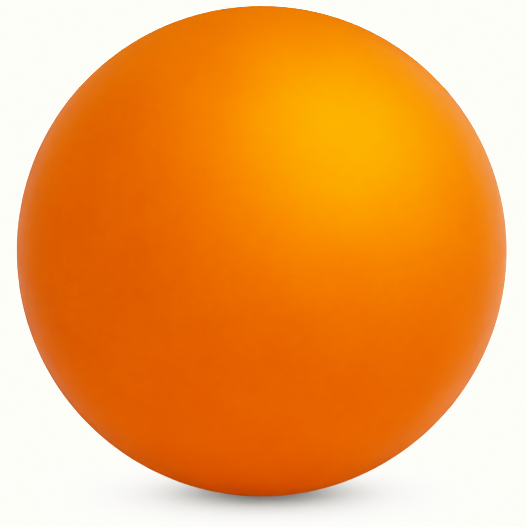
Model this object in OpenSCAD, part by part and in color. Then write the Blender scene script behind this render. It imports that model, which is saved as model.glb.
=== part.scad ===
// Table tennis ball: two moulded half shells bonded at a lapped seam into a sealed hollow sphere.
// Origin at the centre of the ball, +Z up. The seam lies in the XZ plane, so its axis is Y:
// the front half shell is on the -Y side and the rear one on the +Y side.
// All sizes are in millimetres.

/* [Ball] */
// Outside diameter of the finished ball
ball_d = 40; // [38:0.5:44]
// Wall thickness of a half shell away from the seam
wall_t = 0.5; // [0.4:0.05:0.6]

/* [Seam joint] */
// Wall thickness at the parallel land beside the seam, which the tongue, the bond gap and the lip share
rim_t = 0.75; // [0.7:0.05:1]
// How far the front shell's tongue reaches past the seam plane
tongue_l = 1; // [0.6:0.1:1.6]
// Lead-in chamfer on the outer corner of the tongue
lead_in = 0.1; // [0.05:0.01:0.12]

/* [Cement] */
// Thickness of the cement film between the two rims
bond_gap = 0.05; // [0.03:0.01:0.1]
// Radius of the bead of cement squeezed out on the inside
bead_r = 0.15; // [0.1:0.01:0.2]

/* [Hidden] */

// Smoothness of the sphere and of the small bead
$fn = 256;
bead_fn = 48;

ball_r = ball_d / 2;
half_gap = bond_gap / 2;

// Radii of the stepped joint, from the inside out: land, outside of the tongue, inside of the lip
land_r = ball_r - rim_t;
tongue_r = land_r + (rim_t - bond_gap) / 2;
lip_r = tongue_r + bond_gap;

// The rear shell's shoulder stands one cement film past the tip of the tongue
shoulder_y = tongue_l + bond_gap;

// Any distance that reaches past the ball
beyond = ball_r + 1;

// Colours of the plastic and of the cured cement
shell_colour = [0.93, 0.45, 0.03];
cement_colour = [0.80, 0.33, 0.02];

// The profiles below are half sections: x is the radius from the seam's axis and y the distance along it.
// This turns one about that axis.
module revolve() {
    rotate([-90, 0, 0])
        rotate_extrude()
            children();
}

// The whole wall from pole to pole: a half ring that thickens into a parallel land at the seam
module wall_profile() {
    intersection() {
        difference() {
            circle(r = ball_r);
            intersection() {
                circle(r = ball_r - wall_t);
                translate([-land_r, -beyond])
                    square([2 * land_r, 2 * beyond]);
            }
        }
        translate([0, -beyond])
            square([beyond, 2 * beyond]);
    }
}

// Everything in front of the joint, with the tongue standing on its edge
module front_side() {
    polygon([
        [0, -beyond],
        [beyond, -beyond],
        [beyond, -half_gap],
        [tongue_r, -half_gap],
        [tongue_r, tongue_l - lead_in],
        [tongue_r - lead_in, tongue_l],
        [0, tongue_l]
    ]);
}

// Everything behind the joint, with the lip standing on its edge
module rear_side() {
    polygon([
        [0, beyond],
        [beyond, beyond],
        [beyond, half_gap],
        [lip_r, half_gap],
        [lip_r, shoulder_y],
        [0, shoulder_y]
    ]);
}

// Bead of cement standing on the land, over the inner end of the joint
module bead_profile() {
    intersection() {
        translate([land_r, tongue_l + half_gap])
            circle(r = bead_r, $fn = bead_fn);
        square([land_r, beyond]);
    }
}

// Half shell whose rim carries the tongue
module front_half_shell() {
    color(shell_colour)
        revolve()
            intersection() {
                wall_profile();
                front_side();
            }
}

// Half shell whose rim is rebated to take the tongue
module rear_half_shell() {
    color(shell_colour)
        revolve()
            intersection() {
                wall_profile();
                rear_side();
            }
}

// Cured cement: the film between the two rims, flush with the outside, and its inner bead
module seam_cement() {
    color(cement_colour)
        revolve() {
            difference() {
                wall_profile();
                front_side();
                rear_side();
            }
            bead_profile();
        }
}

front_half_shell();
rear_half_shell();
seam_cement();
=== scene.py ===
"""Table tennis ball: the looks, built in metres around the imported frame.

The ball is two thin half shells bonded at a lapped seam. The seam lies in the XZ plane, so Y is its axis.
"""
import math

import bmesh
import bpy
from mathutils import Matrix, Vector


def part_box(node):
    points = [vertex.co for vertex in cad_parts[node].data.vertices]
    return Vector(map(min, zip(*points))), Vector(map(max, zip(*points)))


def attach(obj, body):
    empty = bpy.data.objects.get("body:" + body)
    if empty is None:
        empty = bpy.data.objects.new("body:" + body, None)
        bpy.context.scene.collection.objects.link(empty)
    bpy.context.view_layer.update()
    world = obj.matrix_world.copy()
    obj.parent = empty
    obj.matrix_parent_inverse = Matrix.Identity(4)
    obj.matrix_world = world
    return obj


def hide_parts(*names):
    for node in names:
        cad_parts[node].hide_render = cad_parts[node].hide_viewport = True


MM = 0.001

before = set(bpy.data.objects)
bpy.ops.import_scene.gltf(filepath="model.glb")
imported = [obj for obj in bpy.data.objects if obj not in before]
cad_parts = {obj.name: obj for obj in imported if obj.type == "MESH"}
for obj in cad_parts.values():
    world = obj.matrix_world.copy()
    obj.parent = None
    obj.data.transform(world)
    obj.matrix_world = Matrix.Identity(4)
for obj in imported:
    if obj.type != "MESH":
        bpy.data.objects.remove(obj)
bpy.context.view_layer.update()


# ---- Sizes, measured from the frame ----

def axis_distance(point):
    """Distance of a point from the seam's axis."""
    return math.hypot(point.x, point.z)


def points(node):
    """Every point of a CAD node."""
    return [vertex.co.copy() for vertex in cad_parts[node].data.vertices]


front_points = points("front_half_shell")
cement_points = points("seam_cement")

BALL_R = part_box("front_half_shell")[1].x
TONGUE_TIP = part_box("front_half_shell")[1].y
HALF_GAP = -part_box("seam_cement")[0].y
SHOULDER = TONGUE_TIP + 2 * HALF_GAP
BEAD_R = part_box("seam_cement")[1].y - TONGUE_TIP - HALF_GAP
LAND_R = min(axis_distance(p) for p in cement_points) + BEAD_R
INNER_R = min(p.length for p in front_points if p.y < -BALL_R / 2)
TONGUE_R = LAND_R + (BALL_R - LAND_R) / 2 - HALF_GAP
LIP_R = TONGUE_R + 2 * HALF_GAP
tip_points = [p for p in front_points if p.y > TONGUE_TIP - HALF_GAP / 10]
LEAD_IN = TONGUE_R - max(axis_distance(p) for p in tip_points)
LAND_END = math.sqrt(INNER_R ** 2 - LAND_R ** 2)

# ---- Finish of the seam ----

EDGE_ROUND = 0.03 * MM              # tumbling rounds the outer edges of both rims by this much
CEMENT_DISH = 0.012 * MM            # and the cement shrinks this far below the skin as it cures

# ---- Finish of the plastic ----

SHELL_DEEP = (0.82, 0.160, 0.003)
SHELL_LIGHT = (0.897, 0.182, 0.005)
SHELL_SHADES = (0.25, 0.75)         # the shades at which the plastic is deepest and lightest
CLOUD_SIZE = 5 * MM                 # slow clouding of the pigment
PIGMENT_SIZE = 0.8 * MM             # and its finer speckle
CLOUD_SHARE = 0.6                   # the clouding's share of the shade; the speckle has the rest
PAINTED_SHADE_BAND = (0.8, 1.3)             # where the painted shade over the rim's thicker wall fades out, in lengths of its land
PAINTED_WALL_SHADE = 0.12             # how much that painted shade darkens the pigment, for the light the thicker wall holds back
GLOSS = 0.2                         # a tumbled skin mirrors little except at a glancing angle
ROUGHNESS = 0.36
ROUGHNESS_CHANGE = 0.03             # how far patches of the skin stray from that
SHEEN_SIZE = 2.5 * MM               # the size of those patches
GRAIN_SIZE = 0.10 * MM              # tumbled satin grain
GRAIN_DEPTH = 0.032 * MM
GRAIN_DETAIL = 3.0                  # octaves of noise in it
TURNED_BAND = (0.3, 0.5)            # where the turning marks fade out, in the same lengths
TURNED_SMOOTHING = 0.04             # and how much less rough they leave the skin
MARK_WIDTH = 0.3 * MM               # the marks are narrow along the seam's axis and long round it
MARK_LENGTH = 8 * MM
MARK_DEPTH = 0.006 * MM

# ---- Finish of the cement ----

CEMENT_DEEP = (0.58, 0.085, 0.002)
CEMENT_LIGHT = (0.66, 0.105, 0.003)
CEMENT_ROUGHNESS = (0.24, 0.34)
WAVE_SIZE = 0.5 * MM                # waviness of the cement's skin
WAVE_DEPTH = 0.008 * MM

# ---- Finish of the floor ----

PAPER_DEEP = (0.79, 0.79, 0.79)
PAPER_LIGHT = (0.81, 0.81, 0.81)
PAPER_CLOUD_SIZE = 12 * MM
PAPER_ROUGHNESS = 0.9
FIBRE_SIZE = 0.6 * MM
FIBRE_DEPTH = 0.01 * MM
FIBRE_STRENGTH = 0.5

NOISE_RANGE = (0.3, 0.7)            # where most values of Blender's noise lie

# ---- Studio ----

FLOOR_HALF_SIZE = 3.0               # metres
WHITE = (1.00, 1.00, 1.00)
COOL = (0.95, 1.05, 1.00)
WARM = (1.00, 0.88, 0.82)

KEY_AZIMUTH = 21
KEY_ELEVATION = 29.5
KEY_DISTANCE = 36 * MM
KEY_SIZE = 10 * MM
KEY_POWER = 0.00226                 # watts, for a lamp this small and near

# The ball's softboxes: name, azimuth and elevation in degrees, strength, tint
SOFTBOX_WIDTH = 60
SOFTBOXES = (
    ("overhead_light", -20, 70, 1.25, COOL),
    ("back_right_light", 120, 40, 1.11, COOL),
    ("back_left_light", -165, 25, 0.90, WHITE),
    ("right_light", 90, 0, 0.32, COOL),
    ("front_left_light", -40, 35, 0.18, WARM),
)
# Its reflector boards, which stand lower than the ball's middle
LOW_BOARDS = (
    ("low_right_board", 60, -25, 0.50, WARM),
    ("low_left_board", -60, -25, 0.17, WARM),
    ("low_front_board", 0, -80, 0.44, WARM),
    ("low_back_board", 180, -55, 0.22, WARM),
)

OVER_FLOOR = (-90, 86)              # azimuth and elevation of the lights over the floor
FLOOR_SKY = 170                     # width in degrees of the light over the floor
FLOOR_LIGHT = 1.9                   # lights the floor, and the ball from below by its bounce
FLOOR_BURNOUT = 5.2                 # lights it for the camera alone, until it burns out to white
FLOOR_FILL = 0.37                   # lightens the ball's shadow

# How bright a backdrop the ball reflects at its left, its middle and its right
BACKDROP_LEFT = 0.42
BACKDROP_MIDDLE = 0.07
BACKDROP_RIGHT = 0.58
BACKDROP_SIDE = (0.16, 0.5)         # where it starts and stops changing, as the sine of the angle aside
BACKDROP_BESIDE = 0.3               # the share of it that the ball reflects beside and before it
BACKDROP_BEHIND = (0.5, 0.95)       # where that grows to all of it, as the cosine of the angle behind
BACKDROP_SEEN = 3.0                 # what the camera sees of it

# ---- Camera ----

CAMERA_DISTANCE = 10 * BALL_R
CAMERA_ELEVATION = 4.5
OUTLINE_SHARE = 0.9316              # how much of the frame's width the ball's outline takes up
BALL_LEFT = 0.007                   # how far left of the frame's centre the ball's is, in half widths
BALL_UP = 0.0475                    # and how far above it
SENSOR_WIDTH = 36
EXPOSURE = 4.80                     # how fast a recorded level climbs with the light
CONTRAST = 1.341                    # and how steeply it leaves black
BLACK_POINT = 0.018                 # the darkest light level that the camera records
BRIGHTEST = 1.6                     # the brightest one, past which all is paper white
PAPER_WHITE = 0.985                 # the level that white is recorded at
BLUE_SHARE = 0.97                   # blue is recorded a little short, so that white looks faintly warm
BLUE_CEILING = 0.75                 # and no brighter than this
CURVE_STEPS = 24

# ---- Fineness of the meshes ----

DOME_STEPS = 128                    # steps across a dome, so a ring at its edge has four times as many
RING_STEPS = 4 * DOME_STEPS
ROUND_STEPS = 4
BEAD_STEPS = 12
CREASE = math.radians(30)           # an edge that turns by more than this stays sharp


# ---- Mesh helpers ----

def disc_point(column, row):
    """Where a square grid's point falls on the unit disc, as (radius, angle), its rings kept round."""
    u = 2 * column / DOME_STEPS - 1
    v = 2 * row / DOME_STEPS - 1
    if u == 0 and v == 0:
        return 0.0, 0.0
    if abs(u) > abs(v):
        return abs(u), math.pi / 4 * v / u + (math.pi if u < 0 else 0)
    return abs(v), math.pi / 2 - math.pi / 4 * u / v + (math.pi if v < 0 else 0)


def ring_point(radius, y, angle):
    """A point on a ring about the seam's axis."""
    return Vector((radius * math.cos(angle), y, radius * math.sin(angle)))


def add_dome(bm, radius, edge_y, side, outward):
    """A dome of even quads from its pole to its edge ring, which it returns. Side is -1 front, 1 rear."""
    widest = math.acos(side * edge_y / radius)
    rows = []
    for row in range(DOME_STEPS + 1):
        line = []
        for column in range(DOME_STEPS + 1):
            share, angle = disc_point(column, row)
            tilt = 2 * math.asin(share * math.sin(widest / 2))
            point = ring_point(radius * math.sin(tilt), side * radius * math.cos(tilt), angle)
            line.append(bm.verts.new(point))
        rows.append(line)
    for near, far in zip(rows, rows[1:]):
        for column in range(DOME_STEPS):
            corners = [near[column], near[column + 1], far[column + 1], far[column]]
            bm.faces.new(corners if (side > 0) != outward else corners[::-1])
    last = DOME_STEPS
    edge = [rows[row][last] for row in range(last // 2, last)]
    edge += [rows[last][column] for column in range(last, 0, -1)]
    edge += [rows[row][0] for row in range(last, 0, -1)]
    edge += [rows[0][column] for column in range(last)]
    edge += [rows[row][last] for row in range(last // 2)]
    return edge


def add_ring(bm, radius, y):
    """A ring of points about the seam's axis, at the same angles as a dome's edge."""
    return [bm.verts.new(ring_point(radius, y, 2 * math.pi * k / RING_STEPS)) for k in range(RING_STEPS)]


def bridge(bm, first, second):
    """A band of quads between two rings."""
    for k in range(RING_STEPS):
        after = (k + 1) % RING_STEPS
        bm.faces.new((first[k], first[after], second[after], second[k]))


def make_object(name, bm):
    """A mesh object from a bmesh, smooth except at its creases."""
    mesh = bpy.data.meshes.new(name)
    bmesh.ops.recalc_face_normals(bm, faces=bm.faces)
    bm.to_mesh(mesh)
    bm.free()
    mesh.shade_smooth()
    mesh.set_sharp_from_angle(angle=CREASE)
    piece = bpy.data.objects.new(name, mesh)
    bpy.context.scene.collection.objects.link(piece)
    return piece


def rounded_edge(side):
    """Points (radius, y) round the outer edge of a rim, from the ball's skin to the butt face."""
    centre_y = side * (HALF_GAP + EDGE_ROUND)
    centre_r = math.sqrt((BALL_R - EDGE_ROUND) ** 2 - centre_y ** 2)
    line = []
    for step in range(ROUND_STEPS + 1):
        turn = math.pi / 2 * step / ROUND_STEPS
        radius = centre_r + EDGE_ROUND * math.cos(turn)
        line.append((radius, centre_y - side * EDGE_ROUND * math.sin(turn)))
    return line


# ---- Pieces ----

def half_shell(name, side, rim):
    """A half shell: outer dome, rounded edge, the rim's own profile, land and inner dome."""
    bm = bmesh.new()
    edge = rounded_edge(side)
    outer = add_dome(bm, BALL_R, edge[0][1], side, outward=True)
    inner = add_dome(bm, INNER_R, side * LAND_END, side, outward=False)
    rings = [outer] + [add_ring(bm, radius, y) for radius, y in edge[1:] + rim] + [inner]
    for first, second in zip(rings, rings[1:]):
        bridge(bm, first, second)
    return make_object(name, bm)


def front_rim():
    """The butt face's inner corner, the tongue with its lead-in, and the start of the land."""
    return [
        (TONGUE_R, -HALF_GAP),
        (TONGUE_R, TONGUE_TIP - LEAD_IN),
        (TONGUE_R - LEAD_IN, TONGUE_TIP),
        (LAND_R, TONGUE_TIP),
    ]


def rear_rim():
    """The lip's inner corner, the rebate it shares with the shoulder, and the start of the land."""
    return [(LIP_R, HALF_GAP), (LIP_R, SHOULDER), (LAND_R, SHOULDER)]


def cement_profile():
    """The cement's closed profile: dished skin, rear faces, bead on the land, tongue side, front face."""
    front_edge, rear_edge = rounded_edge(-1), rounded_edge(1)
    skin_r = front_edge[-1][0]
    dish = [(skin_r - CEMENT_DISH, 0.0)]
    bead_turns = [math.pi * k / BEAD_STEPS for k in range(1, BEAD_STEPS)]
    bead_y = TONGUE_TIP + HALF_GAP
    bead = [(LAND_R - BEAD_R * math.sin(t), bead_y + BEAD_R * math.cos(t)) for t in bead_turns]
    bead = [(LAND_R, bead_y + BEAD_R)] + bead + [(LAND_R, bead_y - BEAD_R)]
    rear = [rear_edge[-1], (LIP_R, HALF_GAP), (LIP_R, SHOULDER), (LAND_R, SHOULDER)]
    front = front_rim()[::-1] + [front_edge[-1]]
    return dish + rear + bead + front


def seam_cement():
    """The ring of cured cement."""
    bm = bmesh.new()
    rings = [add_ring(bm, radius, y) for radius, y in cement_profile()]
    for first, second in zip(rings, rings[1:] + rings[:1]):
        bridge(bm, first, second)
    return make_object("cement_ring", bm)


# ---- Material helpers ----

def new_material(name):
    """A node material, with its tree and its Principled shader."""
    material = bpy.data.materials.new(name)
    material.use_nodes = True
    return material, material.node_tree, material.node_tree.nodes["Principled BSDF"]


def position(tree):
    """The point's place on the object, in metres."""
    return tree.nodes.new("ShaderNodeTexCoord").outputs["Object"]


def noise(tree, size, detail=2.0, stretch=(1, 1, 1)):
    """Noise whose grains are of the given size. A stretch above 1 draws them out along that axis."""
    mapping = tree.nodes.new("ShaderNodeMapping")
    mapping.inputs["Scale"].default_value = [1 / (size * share) for share in stretch]
    texture = tree.nodes.new("ShaderNodeTexNoise")
    texture.inputs["Scale"].default_value = 1.0
    texture.inputs["Detail"].default_value = detail
    tree.links.new(position(tree), mapping.inputs["Vector"])
    tree.links.new(mapping.outputs["Vector"], texture.inputs["Vector"])
    return texture.outputs[0]


def math_node(tree, operation, first, second):
    """One calculation on two values, each a socket or a number."""
    node = tree.nodes.new("ShaderNodeMath")
    node.operation = operation
    for socket, value in zip(node.inputs, (first, second)):
        if isinstance(value, (int, float)):
            socket.default_value = value
        else:
            tree.links.new(value, socket)
    return node.outputs[0]


def map_range(tree, value, source, target):
    """A value carried smoothly from one range to another, and held at its ends."""
    node = tree.nodes.new("ShaderNodeMapRange")
    node.interpolation_type = "SMOOTHSTEP"
    for name, end in zip(("From Min", "From Max", "To Min", "To Max"), (*source, *target)):
        node.inputs[name].default_value = end
    tree.links.new(value, node.inputs["Value"])
    return node.outputs["Result"]


def ramp(tree, value, places, colours):
    """A colour between two, as a value runs from one place to the other."""
    node = tree.nodes.new("ShaderNodeValToRGB")
    for stop, place, colour in zip(node.color_ramp.elements, places, colours):
        stop.position = place
        stop.color = (*colour, 1)
    tree.links.new(value, node.inputs["Fac"])
    return node.outputs["Color"]


def bump(tree, height, depth, under=None, strength=1.0):
    """A bump of the given depth in metres, laid over another if one is given."""
    node = tree.nodes.new("ShaderNodeBump")
    node.inputs["Distance"].default_value = depth
    node.inputs["Strength"].default_value = strength
    tree.links.new(height, node.inputs["Height"])
    if under is not None:
        tree.links.new(under, node.inputs["Normal"])
    return node.outputs["Normal"]


def seam_share(tree, fade):
    """1 near the seam plane and 0 far from it. It fades between two distances, in lengths of the land."""
    split = tree.nodes.new("ShaderNodeSeparateXYZ")
    tree.links.new(position(tree), split.inputs[0])
    distance = math_node(tree, "ABSOLUTE", split.outputs["Y"], 0)
    return map_range(tree, distance, (fade[0] * LAND_END, fade[1] * LAND_END), (1, 0))


# ---- Materials ----

def pigment_and_painted_shade(tree):
    """How light the plastic is: clouded and speckled pigment, less a painted shade over the rim's thicker
    wall.
    """
    clouds = math_node(tree, "MULTIPLY", noise(tree, CLOUD_SIZE), CLOUD_SHARE)
    speckle = math_node(tree, "MULTIPLY", noise(tree, PIGMENT_SIZE), 1 - CLOUD_SHARE)
    # painted shade: the pigment is darkened beside the seam, in place of the thicker wall letting less
    # light through
    painted_wall_shade = math_node(tree, "MULTIPLY", seam_share(tree, PAINTED_SHADE_BAND), PAINTED_WALL_SHADE)
    return math_node(tree, "SUBTRACT", math_node(tree, "ADD", clouds, speckle), painted_wall_shade)


def shell_plastic():
    """Satin orange plastic: pigment clouding, a fine tumbled grain, and turning marks beside the seam."""
    material, tree, shader = new_material("orange_shell_plastic")
    colour = ramp(tree, pigment_and_painted_shade(tree), SHELL_SHADES, (SHELL_DEEP, SHELL_LIGHT))
    tree.links.new(colour, shader.inputs["Base Color"])
    shader.inputs["Specular IOR Level"].default_value = GLOSS

    turned = seam_share(tree, TURNED_BAND)
    patches = (ROUGHNESS - ROUGHNESS_CHANGE, ROUGHNESS + ROUGHNESS_CHANGE)
    roughness = map_range(tree, noise(tree, SHEEN_SIZE), NOISE_RANGE, patches)
    smoothing = math_node(tree, "MULTIPLY", turned, TURNED_SMOOTHING)
    tree.links.new(math_node(tree, "SUBTRACT", roughness, smoothing), shader.inputs["Roughness"])

    grain = bump(tree, noise(tree, GRAIN_SIZE, GRAIN_DETAIL), GRAIN_DEPTH)
    drawn_out = MARK_LENGTH / MARK_WIDTH
    marks = noise(tree, MARK_WIDTH, stretch=(drawn_out, 1, drawn_out))
    marks = math_node(tree, "MULTIPLY", marks, turned)
    tree.links.new(bump(tree, marks, MARK_DEPTH, under=grain), shader.inputs["Normal"])
    return material


def cement_plastic():
    """Cured cement: the same plastic without its matting, so it is deeper, glossier and slightly wavy."""
    material, tree, shader = new_material("cured_cement")
    colour = ramp(tree, noise(tree, PIGMENT_SIZE), NOISE_RANGE, (CEMENT_DEEP, CEMENT_LIGHT))
    tree.links.new(colour, shader.inputs["Base Color"])
    roughness = map_range(tree, noise(tree, SHEEN_SIZE), NOISE_RANGE, CEMENT_ROUGHNESS)
    tree.links.new(roughness, shader.inputs["Roughness"])
    waves = bump(tree, noise(tree, WAVE_SIZE), WAVE_DEPTH)
    tree.links.new(waves, shader.inputs["Normal"])
    return material


def floor_paper():
    """Plain white studio paper with a faint fibre."""
    material, tree, shader = new_material("studio_paper")
    colour = ramp(tree, noise(tree, PAPER_CLOUD_SIZE), NOISE_RANGE, (PAPER_DEEP, PAPER_LIGHT))
    tree.links.new(colour, shader.inputs["Base Color"])
    shader.inputs["Roughness"].default_value = PAPER_ROUGHNESS
    shader.inputs["Specular IOR Level"].default_value = 0.0
    fibre = bump(tree, noise(tree, FIBRE_SIZE), FIBRE_DEPTH, strength=FIBRE_STRENGTH)
    tree.links.new(fibre, shader.inputs["Normal"])
    return material


# ---- Stage, lights and camera ----

def group(name, objects):
    """A collection used only to say what a light falls on, and what shades it."""
    collection = bpy.data.collections.new(name)
    for member in objects:
        collection.objects.link(member)
    return collection


def make_floor():
    """A level sheet that touches the ball's lowest point and reaches almost to the horizon."""
    bm = bmesh.new()
    bmesh.ops.create_grid(bm, x_segments=1, y_segments=1, size=FLOOR_HALF_SIZE)
    floor = make_object("floor", bm)
    floor.location.z = -BALL_R
    floor.data.materials.append(floor_paper())
    floor.visible_glossy = False
    return floor


def direction(azimuth, elevation):
    """A unit vector. Azimuth 0 is the camera's side of the ball, and it grows towards +X."""
    azimuth, elevation = math.radians(azimuth), math.radians(elevation)
    level = math.cos(elevation)
    return Vector((math.sin(azimuth) * level, -math.cos(azimuth) * level, math.sin(elevation)))


def place_light(name, data, spot, falls_on):
    """Hang a light at a spot, aimed at the ball's centre, unseen itself, lighting one collection only."""
    data.cycles.use_multiple_importance_sampling = False
    lamp = bpy.data.objects.new(name, data)
    bpy.context.scene.collection.objects.link(lamp)
    lamp.location = spot
    lamp.rotation_euler = (-spot).to_track_quat("-Z", "Y").to_euler()
    lamp.visible_camera = False
    lamp.visible_glossy = False
    lamp.light_linking.receiver_collection = falls_on
    return lamp


def add_soft_light(name, azimuth, elevation, strength, tint, falls_on, width=SOFTBOX_WIDTH):
    """A far, wide softbox: a sun whose disc is width degrees across."""
    data = bpy.data.lights.new(name, "SUN")
    data.energy = strength
    data.angle = math.radians(width)
    data.color = tint
    return place_light(name, data, direction(azimuth, elevation), falls_on)


def add_key_light(falls_on):
    """A small round lamp held close to the ball, which makes its warm, off-centre bright patch."""
    data = bpy.data.lights.new("key_light", "AREA")
    data.shape = "DISK"
    data.size = KEY_SIZE
    data.energy = KEY_POWER
    place_light("key_light", data, direction(KEY_AZIMUTH, KEY_ELEVATION) * KEY_DISTANCE, falls_on)


def light_ball(ball):
    """Hang the key light, the softboxes, and the low boards, whose light nothing but the ball shades."""
    add_key_light(ball)
    for softbox in SOFTBOXES:
        add_soft_light(*softbox, ball)
    for low_board in LOW_BOARDS:
        board = add_soft_light(*low_board, ball)
        board.light_linking.blocker_collection = ball


def light_floor(floor):
    """A sky of light over the floor, more that only the camera sees, and a fill without shadows."""
    add_soft_light("floor_light", *OVER_FLOOR, FLOOR_LIGHT, WARM, floor, FLOOR_SKY)
    burnout = add_soft_light("floor_burnout_light", *OVER_FLOOR, FLOOR_BURNOUT, WHITE, floor, FLOOR_SKY)
    burnout.data.cycles.max_bounces = 0
    fill = add_soft_light("floor_fill_light", *OVER_FLOOR, FLOOR_FILL, WHITE, floor)
    fill.data.cycles.max_bounces = 0
    fill.data.use_shadow = False


def reflected_backdrop(tree):
    """How bright a backdrop the ball reflects: mostly what stands behind it and to its sides."""
    split = tree.nodes.new("ShaderNodeSeparateXYZ")
    tree.links.new(tree.nodes.new("ShaderNodeTexCoord").outputs["Generated"], split.inputs[0])
    near, far = BACKDROP_SIDE
    left = map_range(tree, split.outputs["X"], (-far, -near), (BACKDROP_LEFT, BACKDROP_MIDDLE))
    right = map_range(tree, split.outputs["X"], (near, far), (0, BACKDROP_RIGHT - BACKDROP_MIDDLE))
    behind = map_range(tree, split.outputs["Y"], BACKDROP_BEHIND, (BACKDROP_BESIDE, 1))
    return math_node(tree, "MULTIPLY", math_node(tree, "ADD", left, right), behind)


def make_world():
    """A white backdrop: burnt out for the camera, dim in the ball's reflections, and lighting nothing."""
    world = bpy.data.worlds.new("studio")
    bpy.context.scene.world = world
    world.use_nodes = True
    world.cycles_visibility.diffuse = False
    tree = world.node_tree
    seen = tree.nodes.new("ShaderNodeLightPath").outputs["Is Camera Ray"]
    burnt_out = math_node(tree, "MULTIPLY", seen, BACKDROP_SEEN)
    strength = math_node(tree, "MAXIMUM", reflected_backdrop(tree), burnt_out)
    tree.links.new(strength, tree.nodes["Background"].inputs["Strength"])
    tree.nodes["Background"].inputs["Color"].default_value = (*WHITE, 1)


def response(light):
    """How bright the camera records a light level: black up to a threshold, then nearing paper white."""
    return PAPER_WHITE * (1 - math.exp(-EXPOSURE * max(0, light - BLACK_POINT) ** CONTRAST))


def set_camera_response():
    """Carry the response into the colour management as one smooth curve, and give blue its ceiling."""
    view = bpy.context.scene.view_settings
    view.view_transform = "Standard"
    view.use_curve_mapping = True
    mapping = view.curve_mapping
    mapping.white_level = (BRIGHTEST,) * 3
    blue, combined = mapping.curves[2], mapping.curves[3]
    for step in range(1, CURVE_STEPS):
        share = (step / CURVE_STEPS) ** 2    # closer together in the shadows
        combined.points.new(share, response(share * BRIGHTEST))
    combined.points[0].location = (0, 0)
    combined.points[-1].location = (1, response(BRIGHTEST))
    blue.points.new(BLUE_CEILING / BLUE_SHARE / BRIGHTEST, BLUE_CEILING / BRIGHTEST)
    blue.points[-1].location = (1, BLUE_CEILING / BRIGHTEST)
    for point in blue.points:
        point.handle_type = "VECTOR"
    mapping.update()


def make_camera():
    """The camera, before the ball and a little above it, with its outline filling most of the frame."""
    data = bpy.data.cameras.new("camera")
    camera = bpy.data.objects.new("camera", data)
    bpy.context.scene.collection.objects.link(camera)
    half_view = math.tan(math.asin(BALL_R / CAMERA_DISTANCE)) / OUTLINE_SHARE
    half_width = CAMERA_DISTANCE * half_view
    aim = Vector((BALL_LEFT * half_width, 0, -BALL_UP * half_width))
    camera.location = direction(0, CAMERA_ELEVATION) * CAMERA_DISTANCE
    camera.rotation_euler = (aim - camera.location).to_track_quat("-Z", "Y").to_euler()
    data.sensor_width = SENSOR_WIDTH
    data.lens = SENSOR_WIDTH / 2 / half_view
    data.clip_start = MM
    bpy.context.scene.camera = camera


# ---- The ball ----

def dress(piece, material, node):
    """Finish a piece and put it in the place of its CAD node. Its orange doesn't tint the floor."""
    piece.data.materials.append(material)
    piece.visible_diffuse = False
    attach(piece, "root")
    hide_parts(node)


front_shell = half_shell("front_shell", -1, front_rim())
rear_shell = half_shell("rear_shell", 1, rear_rim())
cement_ring = seam_cement()
plastic = shell_plastic()
dress(front_shell, plastic, "front_half_shell")
dress(rear_shell, plastic, "rear_half_shell")
dress(cement_ring, cement_plastic(), "seam_cement")

floor = make_floor()
light_ball(group("ball_only", [front_shell, rear_shell, cement_ring]))
light_floor(group("floor_only", [floor]))
make_world()
set_camera_response()
make_camera()
